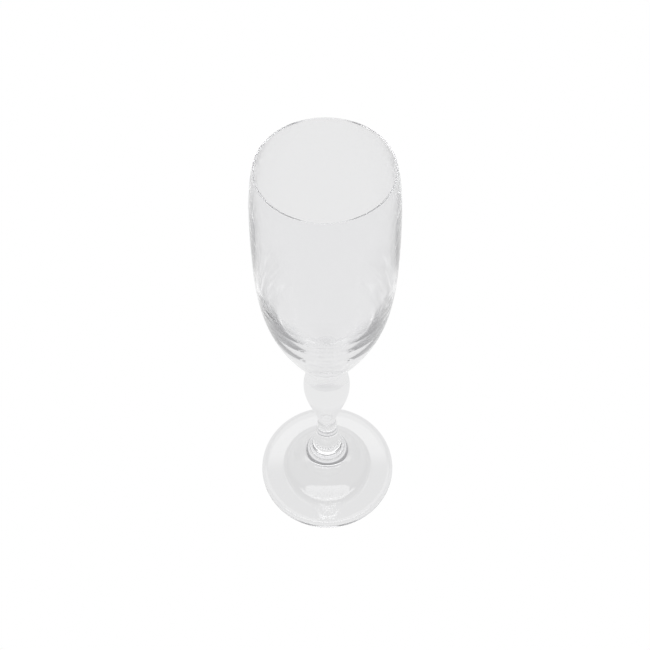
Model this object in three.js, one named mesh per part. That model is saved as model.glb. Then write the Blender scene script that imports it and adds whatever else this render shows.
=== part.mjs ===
// Champagne flute in clear colourless glass: a blown bowl, a solid inverted-baluster knop,
// a drawn trumpet stem and a pressed foot, welded end to end on three flat weld faces.
// Millimetres, +Z up, origin on the axis in the plane of the ring that the foot rests on.

import * as THREE from "three";

// ---- Driving dimensions ----

// Foot
const footRadius = 34.5;
const footEdgeThickness = 4.5;
const footTopEdgeRound = 3.2;      // radius melted onto the upper edge
const footUnderEdgeRound = 1;      // radius on the lower edge
const flangeSlope = 1;             // degrees, fall of the flat outer flange towards the edge
const flangeInnerRadius = 23;      // where the flange ends and the flare begins
const flareFootSlope = 15;         // degrees from level, where the flare rises from the flange
const flareFootPull = 0.5;         // shares of the flare's width that keep each end's direction
const flareCrownPull = 0.4;
const kickRadius = 21.5;           // hollow under the foot
const kickDepth = 11;
const kickTopPull = 0.45;          // shares of the hollow's radius: its level top, and its lip
const kickLipPull = 0.75;
const crownHeight = 16.5;           // resting plane to the weld with the stem

// Stem
const stemLength = 37.5;           // weld to weld
const crownRadius = 13;            // at the weld with the foot
const crownSlope = 62;             // degrees from level, at that weld
const waistRadius = 4.5;           // narrowest place, at the weld with the knop
const stemCrownPull = 1.06;        // share of the narrowing that keeps the crown's slope
const stemWaistPull = 0.36;        // share of the stem's length that stands nearly straight

// Knop
const knopLength = 44.5;           // weld to weld
const knopRadius = 10.5;
const knopWidestBelowNeck = 13;    // from the neck weld down to the widest place
const neckRadius = 6.2;            // at the weld with the bowl
const taperWaistPull = 0.28;       // shares of the taper's height that stand nearly straight
const taperKnopPull = 0.35;
const shoulderKnopPull = 0.5;      // share of the shoulder's height that stands nearly straight
const shoulderSlope = 45;          // degrees, how the shoulder meets the neck

// Bowl
const bowlHeight = 126.5;          // neck weld to rim
const rimRadius = 24;              // outside of the mouth
const bellyRadius = 27.25;         // widest place
const bellyHeight = 77.5;          // above the neck weld
const tuckAngle = 16;              // degrees that the mouth leans inwards
const coneAngle = 27;              // degrees from the axis that the lower bowl opens at
const lowerNeckPull = 0.46;        // shares of the height below the belly, neck and belly end
const lowerBellyPull = 0.41;
const upperBellyPull = 0.45;       // shares of the height above the belly, belly and rim end
const upperRimPull = 0.18;
const rimWall = 0.6;
const bellyWall = 1.2;
const solidBottom = 14.5;          // glass on the axis, neck weld to the inside of the cup
const cupBottomRound = 5.5;        // radius of the round at the bottom of the cup
const cupConeAngle = 30;           // degrees from the axis that the cup opens at above it
const cupBellyPull = 0.62;         // shares of the cup's depth below the belly, at each end
const cupBottomPull = 0.19;

// Fineness of the surfaces
const turns = 40;                  // flats round the axis
const arcSteps = 4;                // steps in a rounded edge
const curveSteps = 10;             // steps in a curve
const bowlSteps = 14;              // steps in the two long curves of the lower bowl

// ---- Heights of the welds, rim and belly ----

const stemWeldZ = crownHeight;
const waistZ = stemWeldZ + stemLength;
const neckZ = waistZ + knopLength;
const rimZ = neckZ + bowlHeight;
const bellyZ = neckZ + bellyHeight;
const knopZ = neckZ - knopWidestBelowNeck;

// ---- Outlines: half sections, radius first and height second ----

const radians = THREE.MathUtils.degToRad;

// A point a given distance from (radius, z), in a direction given in degrees up from outwards.
function away(radius, z, distance, degrees) {
  const angle = radians(degrees);
  return [radius + distance * Math.cos(angle), z + distance * Math.sin(angle)];
}

// One smooth stretch of an outline from start to end, leaving and arriving along the two pulls.
function sweep(start, startPull, endPull, end, steps = curveSteps) {
  const points = [start, startPull, endPull, end].map(([radius, z]) => new THREE.Vector2(radius, z));
  return new THREE.CubicBezierCurve(...points).getPoints(steps);
}

// A round stretch about (radius, z), between two directions in degrees.
function round(radius, z, size, from, to, steps = arcSteps) {
  const points = [];
  for (let step = 0; step <= steps; step++) {
    const degrees = from + (to - from) * step / steps;
    points.push(new THREE.Vector2(...away(radius, z, size, degrees)));
  }
  return points;
}

// Joins stretches and single points into one outline, with a shared end kept once.
function outline(...stretches) {
  const points = stretches.flat().map((p) => Array.isArray(p) ? new THREE.Vector2(...p) : p);
  return points.filter((p, i) => i === 0 || p.distanceTo(points[i - 1]) > 1e-6);
}

// ---- Foot ----

// From the middle of the hollow underneath, out over the resting ring, round the edge,
// in along the flange and up the foot's share of the flare to the weld.
function footOutline() {
  const edgeZ = footEdgeThickness - footTopEdgeRound;
  const edge = round(footRadius - footTopEdgeRound, edgeZ, footTopEdgeRound, 0, 90 - flangeSlope);
  const shoulder = edge[edge.length - 1];
  const flangeWidth = shoulder.x - flangeInnerRadius;
  const flangeZ = shoulder.y + flangeWidth * Math.tan(radians(flangeSlope));
  const flareWidth = flangeInnerRadius - crownRadius;
  const kick = sweep(
    [0, kickDepth],
    [kickRadius * kickTopPull, kickDepth],
    [kickRadius * kickLipPull, 0],
    [kickRadius, 0],
  );
  const flare = sweep(
    [flangeInnerRadius, flangeZ],
    away(flangeInnerRadius, flangeZ, flareWidth * flareFootPull, 180 - flareFootSlope),
    away(crownRadius, stemWeldZ, flareWidth * flareCrownPull, -crownSlope),
    [crownRadius, stemWeldZ],
  );
  return outline(
    kick,
    round(footRadius - footUnderEdgeRound, footUnderEdgeRound, footUnderEdgeRound, -90, 0),
    edge,
    flare,
    [[0, stemWeldZ]],
  );
}

// ---- Stem ----

// A trumpet: from the weld with the foot, where it leaves at the slope of the crown,
// up to the waist, where it stands straight up.
function stemOutline() {
  const flare = sweep(
    [crownRadius, stemWeldZ],
    away(crownRadius, stemWeldZ, (crownRadius - waistRadius) * stemCrownPull, 180 - crownSlope),
    [waistRadius, waistZ - stemLength * stemWaistPull],
    [waistRadius, waistZ],
  );
  return outline([[0, stemWeldZ]], flare, [[0, waistZ]]);
}

// ---- Knop ----

// An inverted baluster: a long taper from the waist out to the widest place,
// then a round shoulder that turns in to the neck.
function knopOutline() {
  const taperHeight = knopZ - waistZ;
  const taper = sweep(
    [waistRadius, waistZ],
    [waistRadius, waistZ + taperHeight * taperWaistPull],
    [knopRadius, knopZ - taperHeight * taperKnopPull],
    [knopRadius, knopZ],
  );
  const shoulder = sweep(
    [knopRadius, knopZ],
    [knopRadius, knopZ + knopWidestBelowNeck * shoulderKnopPull],
    away(neckRadius, neckZ, knopRadius - neckRadius, -shoulderSlope),
    [neckRadius, neckZ],
  );
  return outline([[0, waistZ]], taper, shoulder, [[0, neckZ]]);
}

// ---- Bowl ----

// Up the outside from the neck weld over the belly to the mouth, round the melted rim,
// and down the inside to the bottom of the cup.
function bowlOutline() {
  const lowerHeight = bellyZ - neckZ;
  const upperHeight = rimZ - bellyZ;
  const lower = sweep(
    [neckRadius, neckZ],
    away(neckRadius, neckZ, lowerHeight * lowerNeckPull, 90 - coneAngle),
    [bellyRadius, bellyZ - lowerHeight * lowerBellyPull],
    [bellyRadius, bellyZ],
    bowlSteps,
  );
  const rimCentre = rimRadius - rimWall / 2;
  const upper = sweep(
    [bellyRadius, bellyZ],
    [bellyRadius, bellyZ + upperHeight * upperBellyPull],
    away(rimRadius, rimZ - rimWall / 2, upperHeight * upperRimPull, tuckAngle - 90),
    [rimRadius, rimZ - rimWall / 2],
  );
  const innerBelly = bellyRadius - bellyWall;
  const innerRim = rimRadius - rimWall;
  const innerUpper = sweep(
    [innerRim, rimZ - rimWall / 2],
    away(innerRim, rimZ - rimWall / 2, upperHeight * upperRimPull, tuckAngle - 90),
    [innerBelly, bellyZ + upperHeight * upperBellyPull],
    [innerBelly, bellyZ],
  );
  const cupBottomZ = neckZ + solidBottom;
  const cupDepth = bellyZ - cupBottomZ;
  const cupRound = round(0, cupBottomZ + cupBottomRound, cupBottomRound, -cupConeAngle, -90);
  const roundStart = cupRound[0];
  const innerLower = sweep(
    [innerBelly, bellyZ],
    [innerBelly, bellyZ - cupDepth * cupBellyPull],
    away(roundStart.x, roundStart.y, cupDepth * cupBottomPull, 90 - cupConeAngle),
    [roundStart.x, roundStart.y],
    bowlSteps,
  );
  return outline(
    [[0, neckZ]],
    lower,
    upper,
    round(rimCentre, rimZ - rimWall / 2, rimWall / 2, 0, 180),
    innerUpper,
    innerLower,
    cupRound.slice(0, -1),
    [[0, cupBottomZ]],
  );
}

// ---- The pieces ----

// Clear glass: almost no colour, smooth, no metal.
function clearGlass(colour) {
  return new THREE.MeshStandardMaterial({ color: colour, roughness: 0.03, metalness: 0 });
}

// Turns a half section about the axis, which three.js does about Y, and stands it up along Z.
function turned(name, points, colour) {
  const geometry = new THREE.LatheGeometry(points, turns);
  geometry.rotateX(Math.PI / 2);
  const mesh = new THREE.Mesh(geometry, clearGlass(colour));
  mesh.name = name;
  return mesh;
}

const flute = new THREE.Group();
flute.add(turned("foot", footOutline(), 0xe9ebee));
flute.add(turned("stem", stemOutline(), 0xe4e6ea));
flute.add(turned("knop", knopOutline(), 0xdfe1e6));
flute.add(turned("bowl", bowlOutline(), 0xe6e8ec));

export default flute;
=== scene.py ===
import math

import bpy
import numpy as np
from mathutils import Matrix, Vector


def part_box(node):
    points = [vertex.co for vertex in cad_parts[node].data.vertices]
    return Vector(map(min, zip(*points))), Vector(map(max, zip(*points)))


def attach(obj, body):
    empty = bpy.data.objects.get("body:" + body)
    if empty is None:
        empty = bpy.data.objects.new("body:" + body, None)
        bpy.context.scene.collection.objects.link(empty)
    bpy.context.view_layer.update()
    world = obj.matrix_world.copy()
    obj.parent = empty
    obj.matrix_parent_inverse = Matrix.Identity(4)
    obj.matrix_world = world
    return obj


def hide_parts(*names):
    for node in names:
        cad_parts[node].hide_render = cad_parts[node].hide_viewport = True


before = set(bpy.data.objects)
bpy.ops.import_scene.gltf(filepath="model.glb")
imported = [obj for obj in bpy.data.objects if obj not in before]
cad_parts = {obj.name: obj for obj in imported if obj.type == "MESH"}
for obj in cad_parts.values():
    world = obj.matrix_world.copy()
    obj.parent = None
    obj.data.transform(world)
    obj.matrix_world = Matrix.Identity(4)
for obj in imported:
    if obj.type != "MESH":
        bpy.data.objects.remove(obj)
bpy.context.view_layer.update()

# ---- Foot ----
# The disc that the glass stands on, clear soda-lime glass pressed in a mould while hot. Its flat
# flange turns up into a bell at the middle, a deep hollow underneath lifts all but the outer
# ring off the table, and the stem is welded to the crown of the bell.

FOOT_EDGE_THICKNESS = 4.5   # sizes are millimetres until turned() makes them metres
FOOT_TOP_ROUND = 3.2
FOOT_UNDER_ROUND = 1.0
FLANGE_SLOPE = 1.0          # degrees
FLANGE_INNER_RADIUS = 23.0
FLARE_FOOT_SLOPE = 15.0     # degrees
FLARE_FOOT_PULL = 5.0       # how far each end of the flare keeps its direction
FLARE_CROWN_PULL = 4.0
KICK_RADIUS = 21.5
KICK_DEPTH = 11.0
KICK_TOP_PULL = 0.45        # shares of the hollow's radius
KICK_LIP_PULL = 0.75
CROWN_RADIUS = 13.0
CROWN_SLOPE = 62.0          # degrees
SIDES = 192                 # flats round the axis
SAME_POINT = 1e-3           # outline points closer than this to the one before are one point
NEAR_AXIS = 0.3             # and points nearer the axis than this, but not on it, are left out


def node_box(node):
    """A CAD node's lowest and highest corners, from metres to millimetres."""
    low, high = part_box(node)
    return np.array(low) * 1000, np.array(high) * 1000


def toward(point, distance, degrees):
    """The point that lies a distance from another, in a direction in degrees up from outwards."""
    angle = math.radians(degrees)
    return (point[0] + distance * math.cos(angle), point[1] + distance * math.sin(angle))


def bend(start, start_pull, end_pull, end, steps):
    """Cubic Bezier: the four points weighted by (1-t)^3, 3t(1-t)^2, 3t^2(1-t) and t^3. t follows
    half a cosine wave, so points crowd together at both ends, where one bend meets the next."""
    t = (1 - np.cos(np.linspace(0, np.pi, steps + 1))) / 2
    weights = np.stack([(1 - t) ** 3, 3 * t * (1 - t) ** 2, 3 * t * t * (1 - t), t ** 3], axis=1)
    return weights @ np.array([start, start_pull, end_pull, end], float)


def straight(start, end, steps):
    """Straight stretch, spaced as a bend is, so that smooth shading keeps its flat flat."""
    t = (1 - np.cos(np.linspace(0, np.pi, steps + 1))) / 2
    return np.array(start) + t[:, None] * (np.array(end) - np.array(start))


def rounding(centre, size, start, end, steps):
    """Arc: centre plus size times (cos a, sin a), a going evenly from start to end in degrees."""
    angle = np.radians(np.linspace(start, end, steps + 1))
    return np.array(centre) + size * np.stack([np.cos(angle), np.sin(angle)], axis=1)


def turned(name, stretches, weld_below, weld_above):
    """Solid of revolution. Outline point (r, z) at angle a goes to (r cos a, r sin a, z), a going
    evenly round the axis. The outline starts and ends on the axis, and each end closes in a fan
    about one pole. A fan on a weld is shaded flat and takes the second material."""
    outline = np.concatenate([np.atleast_2d(np.array(s, float)) for s in stretches])
    step = np.append(1.0, np.hypot(*np.diff(outline, axis=0).T))
    on_axis = outline[:, 0] < 1e-9
    outline = outline[(step > SAME_POINT) & (on_axis | (outline[:, 0] > NEAR_AXIS))]
    rings = outline[1:-1]
    angle = np.arange(SIDES) * 2 * np.pi / SIDES
    radius, height = rings[:, :1], rings[:, 1:]
    points = np.stack([radius * np.cos(angle), radius * np.sin(angle),
                       np.repeat(height, SIDES, axis=1)], axis=2)
    poles = [[0, 0, outline[0, 1]], [0, 0, outline[-1, 1]]]
    points = np.concatenate([points.reshape(-1, 3), poles]) / 1000

    corner = np.arange(SIDES)
    after = (corner + 1) % SIDES
    ring = np.arange(len(rings) - 1)[:, None] * SIDES
    walls = np.stack([ring + corner, ring + after, ring + SIDES + after, ring + SIDES + corner], 2)
    first_pole = np.full(SIDES, len(rings) * SIDES)
    last_ring = (len(rings) - 1) * SIDES
    below = np.stack([first_pole, after, corner], 1)
    above = np.stack([first_pole + 1, last_ring + corner, last_ring + after], 1)
    faces = walls.reshape(-1, 4).tolist() + below.tolist() + above.tolist()

    mesh = bpy.data.meshes.new(name)
    mesh.from_pydata(points.tolist(), [], faces)
    on_weld = np.zeros(len(faces), bool)
    on_weld[-2 * SIDES:-SIDES] = weld_below
    on_weld[-SIDES:] = weld_above
    mesh.polygons.foreach_set("use_smooth", ~on_weld)
    mesh.polygons.foreach_set("material_index", on_weld.astype(np.int32))
    mesh.update()
    piece = bpy.data.objects.new(name, mesh)
    bpy.context.scene.collection.objects.link(piece)
    return piece


RUBBED_SCALE = 90.0         # noise cells to a metre
RUBBED_FROM = 0.55          # noise value where a rubbed patch begins
RUBBED_FULL = 0.75          # and where it is fully rubbed


def hot_glass_finish():
    """Shader group for the surface of glass worked hot. Height is a slow noise with its own scale
    across the axis and along it, for the faint streaks that working leaves, plus a share of a
    finer noise, for ripples. Roughness is the polish plus the wear inside sparse patches, which
    are a smooth step of a third noise."""
    group = bpy.data.node_groups.new("hot_glass_finish", "ShaderNodeTree")
    sockets = group.interface
    for label, value in (("Streaks Across", 30.0), ("Streaks Along", 8.0), ("Ripples", 250.0),
                         ("Ripple Share", 0.2), ("Polish", 0.0), ("Wear", 0.02)):
        socket = sockets.new_socket(label, in_out="INPUT", socket_type="NodeSocketFloat")
        socket.default_value = value
    for label in ("Roughness", "Height"):
        sockets.new_socket(label, in_out="OUTPUT", socket_type="NodeSocketFloat")
    new = group.nodes.new
    inlet, outlet = new("NodeGroupInput"), new("NodeGroupOutput")
    place = new("ShaderNodeTexCoord").outputs["Object"]

    drawn = new("ShaderNodeVectorMath")
    drawn.operation = "MULTIPLY"
    scales = new("ShaderNodeCombineXYZ")
    group.links.new(inlet.outputs["Streaks Across"], scales.inputs["X"])
    group.links.new(inlet.outputs["Streaks Across"], scales.inputs["Y"])
    group.links.new(inlet.outputs["Streaks Along"], scales.inputs["Z"])
    group.links.new(place, drawn.inputs[0])
    group.links.new(scales.outputs[0], drawn.inputs[1])
    streak = new("ShaderNodeTexNoise")
    streak.inputs["Scale"].default_value = 1.0
    streak.inputs["Detail"].default_value = 2.0
    group.links.new(drawn.outputs[0], streak.inputs["Vector"])

    ripple = new("ShaderNodeTexNoise")
    ripple.inputs["Detail"].default_value = 1.0
    group.links.new(place, ripple.inputs["Vector"])
    group.links.new(inlet.outputs["Ripples"], ripple.inputs["Scale"])
    height = new("ShaderNodeMath")
    height.operation = "MULTIPLY_ADD"
    group.links.new(ripple.outputs["Fac"], height.inputs[0])
    group.links.new(inlet.outputs["Ripple Share"], height.inputs[1])
    group.links.new(streak.outputs["Fac"], height.inputs[2])
    group.links.new(height.outputs[0], outlet.inputs["Height"])

    rubbed = new("ShaderNodeTexNoise")
    rubbed.inputs["Scale"].default_value = RUBBED_SCALE
    rubbed.inputs["Detail"].default_value = 6.0
    group.links.new(place, rubbed.inputs["Vector"])
    patch = new("ShaderNodeMapRange")
    patch.interpolation_type = "SMOOTHSTEP"
    patch.inputs["From Min"].default_value = RUBBED_FROM
    patch.inputs["From Max"].default_value = RUBBED_FULL
    group.links.new(rubbed.outputs["Fac"], patch.inputs["Value"])
    rough = new("ShaderNodeMath")
    rough.operation = "MULTIPLY_ADD"
    group.links.new(patch.outputs["Result"], rough.inputs[0])
    group.links.new(inlet.outputs["Wear"], rough.inputs[1])
    group.links.new(inlet.outputs["Polish"], rough.inputs[2])
    group.links.new(rough.outputs[0], outlet.inputs["Roughness"])
    return group


GLASS_FINISH = hot_glass_finish()
GLASS_COLOUR = (0.96, 0.96, 0.965, 1.0)
GLASS_INDEX = 1.51


def clear_glass(name, depth, **finish):
    """Clear glass of one piece: light passes through and bends, the finish group sets its
    roughness, and the group's height, times depth in metres, tilts the surface a little. The
    finish values are the group's inputs, in small letters."""
    material = bpy.data.materials.new(name)
    material.use_nodes = True
    tree = material.node_tree
    shader = tree.nodes["Principled BSDF"]
    shader.inputs["Base Color"].default_value = GLASS_COLOUR
    shader.inputs["Transmission Weight"].default_value = 1.0
    shader.inputs["IOR"].default_value = GLASS_INDEX
    surface = tree.nodes.new("ShaderNodeGroup")
    surface.node_tree = GLASS_FINISH
    for label, value in finish.items():
        surface.inputs[label.replace("_", " ").title()].default_value = value
    bump = tree.nodes.new("ShaderNodeBump")
    bump.inputs["Strength"].default_value = 1.0
    bump.inputs["Distance"].default_value = depth
    tree.links.new(surface.outputs["Height"], bump.inputs["Height"])
    tree.links.new(surface.outputs["Roughness"], shader.inputs["Roughness"])
    tree.links.new(bump.outputs["Normal"], shader.inputs["Normal"])
    return material


def weld_plane():
    """The flat disc inside the glass where two pieces are fused: nothing shows there."""
    material = bpy.data.materials.new("weld_plane")
    material.use_nodes = True
    material.node_tree.nodes["Principled BSDF"].inputs["Alpha"].default_value = 0.0
    return material


WELD = weld_plane()

foot_high = node_box("foot")[1]
foot_radius, crown_z = foot_high[0], foot_high[2]
edge = rounding((foot_radius - FOOT_TOP_ROUND, FOOT_EDGE_THICKNESS - FOOT_TOP_ROUND),
                FOOT_TOP_ROUND, 0, 90 - FLANGE_SLOPE, steps=14)
flange_z = edge[-1, 1] + (edge[-1, 0] - FLANGE_INNER_RADIUS) * math.tan(math.radians(FLANGE_SLOPE))
flange_end, crown = (FLANGE_INNER_RADIUS, flange_z), (CROWN_RADIUS, crown_z)
foot_under_edge = foot_radius - FOOT_UNDER_ROUND
foot = turned("foot_glass", [
    bend((0, KICK_DEPTH), (KICK_RADIUS * KICK_TOP_PULL, KICK_DEPTH),
         (KICK_RADIUS * KICK_LIP_PULL, 0), (KICK_RADIUS, 0), steps=50),
    straight((KICK_RADIUS, 0), (foot_under_edge, 0), steps=14),
    rounding((foot_under_edge, FOOT_UNDER_ROUND), FOOT_UNDER_ROUND, -90, 0, steps=8),
    edge,
    straight(edge[-1], flange_end, steps=14),
    bend(flange_end, toward(flange_end, FLARE_FOOT_PULL, 180 - FLARE_FOOT_SLOPE),
         toward(crown, FLARE_CROWN_PULL, -CROWN_SLOPE), crown, steps=60),
    (0, crown_z),
], weld_below=False, weld_above=True)
foot.data.materials.append(clear_glass("foot_clear_glass", depth=3e-7, streaks_across=60,
                                       streaks_along=60, wear=0.03))
foot.data.materials.append(WELD)
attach(foot, "root")
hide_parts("foot")

# ---- Stem ----
# A solid trumpet of clear glass, drawn down from a hot gather: wide where it is welded to the
# foot, narrowest where the knop is welded on.

WAIST_RADIUS = 4.5
STEM_CROWN_PULL = 9.0       # how far each end of the stem keeps its direction
STEM_WAIST_PULL = 13.5

stem_low, stem_high = node_box("stem")
stem = turned("stem_glass", [
    (0, stem_low[2]),
    bend(crown, toward(crown, STEM_CROWN_PULL, 180 - CROWN_SLOPE),
         (WAIST_RADIUS, stem_high[2] - STEM_WAIST_PULL), (WAIST_RADIUS, stem_high[2]),
         steps=80),
    (0, stem_high[2]),
], weld_below=True, weld_above=True)
stem.data.materials.append(clear_glass("stem_clear_glass", depth=3e-7, streaks_across=120,
                                       streaks_along=15))
stem.data.materials.append(WELD)
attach(stem, "root")
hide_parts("stem")

# ---- Knop ----
# A solid inverted baluster of clear glass, shaped with jacks: a long taper up from the waist
# and a round shoulder that turns in to the neck, where the bowl is welded on.

KNOP_WIDEST_BELOW_NECK = 13.0
NECK_RADIUS = 6.2
TAPER_WAIST_PULL = 0.28     # shares of the taper's height
TAPER_KNOP_PULL = 0.35
SHOULDER_KNOP_PULL = 0.5    # share of the shoulder's height
SHOULDER_SLOPE = 45.0       # degrees

knop_low, knop_high = node_box("knop")
knop_radius, waist_z, neck_z = knop_high[0], knop_low[2], knop_high[2]
knop_z = neck_z - KNOP_WIDEST_BELOW_NECK
taper_height = knop_z - waist_z
neck = (NECK_RADIUS, neck_z)
knop = turned("knop_glass", [
    (0, waist_z),
    bend((WAIST_RADIUS, waist_z), (WAIST_RADIUS, waist_z + taper_height * TAPER_WAIST_PULL),
         (knop_radius, knop_z - taper_height * TAPER_KNOP_PULL), (knop_radius, knop_z), steps=60),
    bend((knop_radius, knop_z),
         (knop_radius, knop_z + KNOP_WIDEST_BELOW_NECK * SHOULDER_KNOP_PULL),
         toward(neck, knop_radius - NECK_RADIUS, -SHOULDER_SLOPE), neck, steps=40),
    (0, neck_z),
], weld_below=True, weld_above=True)
knop.data.materials.append(clear_glass("knop_clear_glass", depth=1e-6, streaks_across=120,
                                       streaks_along=60))
knop.data.materials.append(WELD)
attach(knop, "root")
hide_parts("knop")

# ---- Bowl ----
# The cup that is drunk from, clear glass blown thin: a solid cone above the neck, a wall that
# opens to the belly and leans in again to the mouth, and a rim melted round with a flame.

RIM_RADIUS = 24.0
BELLY_ABOVE_NECK = 77.5
TUCK_ANGLE = 16.0           # degrees that the mouth leans inwards
CONE_ANGLE = 27.0           # degrees from the axis
LOWER_NECK_PULL = 0.46      # shares of the height below the belly
LOWER_BELLY_PULL = 0.41
UPPER_BELLY_PULL = 0.45     # shares of the height above the belly
UPPER_RIM_PULL = 0.18
RIM_WALL = 0.6
BELLY_WALL = 1.2
SOLID_BOTTOM = 14.5
CUP_BOTTOM_ROUND = 5.5
CUP_CONE_ANGLE = 30.0       # degrees from the axis
CUP_BELLY_PULL = 39.0       # how far each end of the cup's lower wall keeps its direction
CUP_BOTTOM_PULL = 12.0

bowl_high = node_box("bowl")[1]
belly_radius, rim_z = bowl_high[0], bowl_high[2]
belly_z = neck_z + BELLY_ABOVE_NECK
lower_height, upper_height = belly_z - neck_z, rim_z - belly_z
cup_z = neck_z + SOLID_BOTTOM
inner_belly, inner_rim = belly_radius - BELLY_WALL, RIM_RADIUS - RIM_WALL
rim_centre_z = rim_z - RIM_WALL / 2
cup_round = rounding((0, cup_z + CUP_BOTTOM_ROUND), CUP_BOTTOM_ROUND, -CUP_CONE_ANGLE, -90,
                     steps=14)
belly, mouth = (belly_radius, belly_z), (RIM_RADIUS, rim_centre_z)
inner_mouth = (inner_rim, rim_centre_z)
bowl = turned("bowl_glass", [
    (0, neck_z),
    bend(neck, toward(neck, lower_height * LOWER_NECK_PULL, 90 - CONE_ANGLE),
         (belly_radius, belly_z - lower_height * LOWER_BELLY_PULL), belly, steps=80),
    bend(belly, (belly_radius, belly_z + upper_height * UPPER_BELLY_PULL),
         toward(mouth, upper_height * UPPER_RIM_PULL, TUCK_ANGLE - 90), mouth, steps=50),
    rounding((RIM_RADIUS - RIM_WALL / 2, rim_centre_z), RIM_WALL / 2, 0, 180, steps=12),
    bend(inner_mouth, toward(inner_mouth, upper_height * UPPER_RIM_PULL, TUCK_ANGLE - 90),
         (inner_belly, belly_z + upper_height * UPPER_BELLY_PULL), (inner_belly, belly_z),
         steps=50),
    bend((inner_belly, belly_z), (inner_belly, belly_z - CUP_BELLY_PULL),
         toward(cup_round[0], CUP_BOTTOM_PULL, 90 - CUP_CONE_ANGLE), cup_round[0], steps=70),
    cup_round,
    (0, cup_z),
], weld_below=True, weld_above=False)
bowl.data.materials.append(clear_glass("bowl_clear_glass", depth=4e-7, streaks_across=150,
                                       streaks_along=8))
bowl.data.materials.append(WELD)
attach(bowl, "root")
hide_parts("bowl")

# ---- Table, light and camera ----
# A white table that glows, a little darker through the glass of the foot, with a shadow painted
# into its glow under the foot's hollow, and soft white light all round. Four soft-edged cards that
# only the glass sees give it its edges: one bright card behind, one bright card in front, and a
# dim one on each side at the back.

ROOM_WHITE = (0.98, 0.98, 1.0, 1.0)
ROOM_SEEN = 1.05            # radiance of the room where the camera looks straight at it
ROOM_LOW = 0.85             # where the glass shows it, near level
ROOM_HIGH = 0.35            # and higher up
RISE_FROM = 0.1             # sine of the elevation, where the low part starts to pass into
RISE_TO = 0.4               # the high part, and where it has done so
TABLE_REACH = 3.0           # metres from the axis to each side of the table
TABLE_TOP = -0.0003         # metres, just clear of the foot
TABLE_SEEN = 1.0            # radiance of the table where the camera looks straight at it
TABLE_THROUGH = 0.85        # where the glass shows it
# The table's glow is darker under the foot's hollow: a painted shadow, seen only through the
# glass.
TABLE_PAINTED_SHADOW = 0.78     # where the glass shows the part under the hollow
SHADE_FROM = 0.020          # metres from the axis, where that part passes into the rest
SHADE_TO = 0.025
SOFT_EDGE = 0.4             # share of a card's half width over which it fades
CARD_AIM = 0.12             # metres, height of the point on the axis that the cards face
CAMERA_PLACE = (-0.00049, -0.21025, 0.44184)    # metres
CAMERA_TILT = 34.31         # degrees up from straight down
CAMERA_ROLL = -0.553        # degrees
LENS = 50.3                 # millimetres
SENSOR = 36                 # millimetres across
LIGHT_BOUNCES = 300         # light in the walls of the bowl turns back and forth many times


def glowing_table():
    """White table that glows. Seen through glass, its radiance rises smoothly with the distance
    from the axis, from a painted shadow under the foot's hollow out to its resting ring."""
    material = bpy.data.materials.new("table_white")
    material.use_nodes = True
    tree = material.node_tree
    tree.nodes.clear()
    new = tree.nodes.new
    place, distance = new("ShaderNodeTexCoord"), new("ShaderNodeVectorMath")
    distance.operation = "LENGTH"
    tree.links.new(place.outputs["Object"], distance.inputs[0])
    # Painted shadow: seen through the glass, the glow is darker near the axis, under the foot's
    # hollow.
    shade = new("ShaderNodeMapRange")
    shade.interpolation_type = "SMOOTHSTEP"
    shade.inputs["From Min"].default_value = SHADE_FROM
    shade.inputs["From Max"].default_value = SHADE_TO
    shade.inputs["To Min"].default_value = TABLE_PAINTED_SHADOW
    shade.inputs["To Max"].default_value = TABLE_THROUGH
    tree.links.new(distance.outputs["Value"], shade.inputs["Value"])
    path, strength = new("ShaderNodeLightPath"), new("ShaderNodeMapRange")
    strength.inputs["To Max"].default_value = TABLE_SEEN
    tree.links.new(path.outputs["Is Camera Ray"], strength.inputs["Value"])
    tree.links.new(shade.outputs["Result"], strength.inputs["To Min"])
    glow, outlet = new("ShaderNodeEmission"), new("ShaderNodeOutputMaterial")
    tree.links.new(strength.outputs["Result"], glow.inputs["Strength"])
    tree.links.new(glow.outputs[0], outlet.inputs["Surface"])
    return material


def soft_glow(name, width, height, radiance):
    """Glow of a card, in full at its middle and fading smoothly to nothing at its four edges:
    the product of one smooth step across and one up."""
    material = bpy.data.materials.new(name)
    material.use_nodes = True
    tree = material.node_tree
    tree.nodes.clear()
    new = tree.nodes.new
    place, split = new("ShaderNodeTexCoord"), new("ShaderNodeSeparateXYZ")
    tree.links.new(place.outputs["Object"], split.inputs[0])
    share = new("ShaderNodeMath")
    share.operation = "MULTIPLY"
    for slot, (axis, size) in enumerate((("X", width), ("Y", height))):
        off_middle, fade = new("ShaderNodeMath"), new("ShaderNodeMapRange")
        off_middle.operation = "ABSOLUTE"
        fade.interpolation_type = "SMOOTHSTEP"
        fade.inputs["From Min"].default_value = size / 2
        fade.inputs["From Max"].default_value = size / 2 * (1 - SOFT_EDGE)
        tree.links.new(split.outputs[axis], off_middle.inputs[0])
        tree.links.new(off_middle.outputs[0], fade.inputs["Value"])
        tree.links.new(fade.outputs["Result"], share.inputs[slot])
    clear, glow = new("ShaderNodeBsdfTransparent"), new("ShaderNodeEmission")
    glow.inputs["Strength"].default_value = radiance
    blend, outlet = new("ShaderNodeMixShader"), new("ShaderNodeOutputMaterial")
    tree.links.new(share.outputs[0], blend.inputs[0])
    tree.links.new(clear.outputs[0], blend.inputs[1])
    tree.links.new(glow.outputs[0], blend.inputs[2])
    tree.links.new(blend.outputs[0], outlet.inputs["Surface"])
    return material


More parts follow.
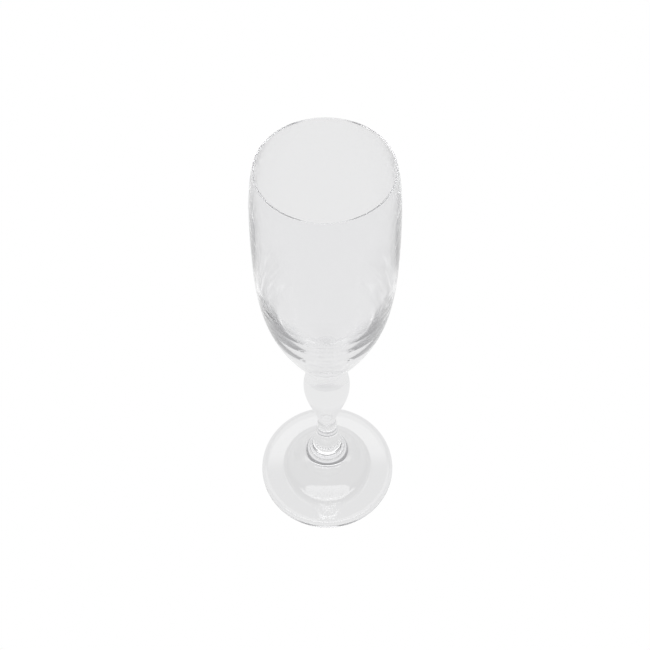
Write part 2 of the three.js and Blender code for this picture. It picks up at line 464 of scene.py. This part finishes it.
def card(name, azimuth, elevation, distance, width, height, radiance):
    """Flat rectangle facing the glass from the direction (sin a cos e, -cos a cos e, sin e), a
    and e in degrees and a = 0 in front, at a distance in metres. Only the glass sees it."""
    mesh = bpy.data.meshes.new(name)
    mesh.from_pydata([(-width / 2, -height / 2, 0), (width / 2, -height / 2, 0),
                      (width / 2, height / 2, 0), (-width / 2, height / 2, 0)], [], [(0, 1, 2, 3)])
    mesh.materials.append(soft_glow(name + "_glow", width, height, radiance))
    piece = bpy.data.objects.new(name, mesh)
    bpy.context.scene.collection.objects.link(piece)
    a, e = math.radians(azimuth), math.radians(elevation)
    out = Vector((math.sin(a) * math.cos(e), -math.cos(a) * math.cos(e), math.sin(e)))
    piece.matrix_world = (Matrix.Translation(out * distance + Vector((0, 0, CARD_AIM)))
                          @ out.to_track_quat("Z", "Y").to_matrix().to_4x4())
    piece.visible_camera = piece.visible_shadow = piece.visible_diffuse = False


table_mesh = bpy.data.meshes.new("table")
table_mesh.from_pydata([(-TABLE_REACH, -TABLE_REACH, TABLE_TOP),
                        (TABLE_REACH, -TABLE_REACH, TABLE_TOP),
                        (TABLE_REACH, TABLE_REACH, TABLE_TOP),
                        (-TABLE_REACH, TABLE_REACH, TABLE_TOP)], [], [(0, 1, 2, 3)])
table_mesh.materials.append(glowing_table())
table = bpy.data.objects.new("table", table_mesh)
bpy.context.scene.collection.objects.link(table)

for name, azimuth, elevation, distance, width, height, radiance in (
        ("panel_behind", 182, 56.5, 1.2, 1.1, 0.27, 1.5),
        ("panel_front", 0, 44, 0.5, 1.7, 0.2, 3.2),
        ("flag_left", -138, 57, 1.0, 0.5, 0.22, 0.02),
        ("flag_right", 140, 57, 1.0, 0.35, 0.24, 0.3)):
    card(name, azimuth, elevation, distance, width, height, radiance)

world = bpy.data.worlds.new("soft_light")
bpy.context.scene.world = world
world.use_nodes = True
sky = world.node_tree
air = sky.nodes["Background"]
air.inputs["Color"].default_value = ROOM_WHITE
direction, split = sky.nodes.new("ShaderNodeTexCoord"), sky.nodes.new("ShaderNodeSeparateXYZ")
sky.links.new(direction.outputs["Generated"], split.inputs[0])
rise = sky.nodes.new("ShaderNodeMapRange")
rise.interpolation_type = "SMOOTHSTEP"
rise.inputs["From Min"].default_value = RISE_FROM
rise.inputs["From Max"].default_value = RISE_TO
rise.inputs["To Min"].default_value = ROOM_LOW
rise.inputs["To Max"].default_value = ROOM_HIGH
sky.links.new(split.outputs["Z"], rise.inputs["Value"])
ray, strength = sky.nodes.new("ShaderNodeLightPath"), sky.nodes.new("ShaderNodeMapRange")
strength.inputs["To Max"].default_value = ROOM_SEEN
sky.links.new(ray.outputs["Is Camera Ray"], strength.inputs["Value"])
sky.links.new(rise.outputs["Result"], strength.inputs["To Min"])
sky.links.new(strength.outputs["Result"], air.inputs["Strength"])

lens = bpy.data.cameras.new("camera")
lens.lens = LENS
lens.sensor_width = SENSOR
lens.clip_start = 0.01
camera = bpy.data.objects.new("camera", lens)
bpy.context.scene.collection.objects.link(camera)
camera.matrix_world = (Matrix.Translation(CAMERA_PLACE)
                       @ Matrix.Rotation(math.radians(CAMERA_TILT), 4, "X")
                       @ Matrix.Rotation(math.radians(CAMERA_ROLL), 4, "Z"))
bpy.context.scene.camera = camera

scene = bpy.context.scene
scene.view_settings.view_transform = "Standard"
scene.cycles.max_bounces = LIGHT_BOUNCES
scene.cycles.glossy_bounces = LIGHT_BOUNCES
scene.cycles.transmission_bounces = LIGHT_BOUNCES
scene.cycles.transparent_max_bounces = LIGHT_BOUNCES
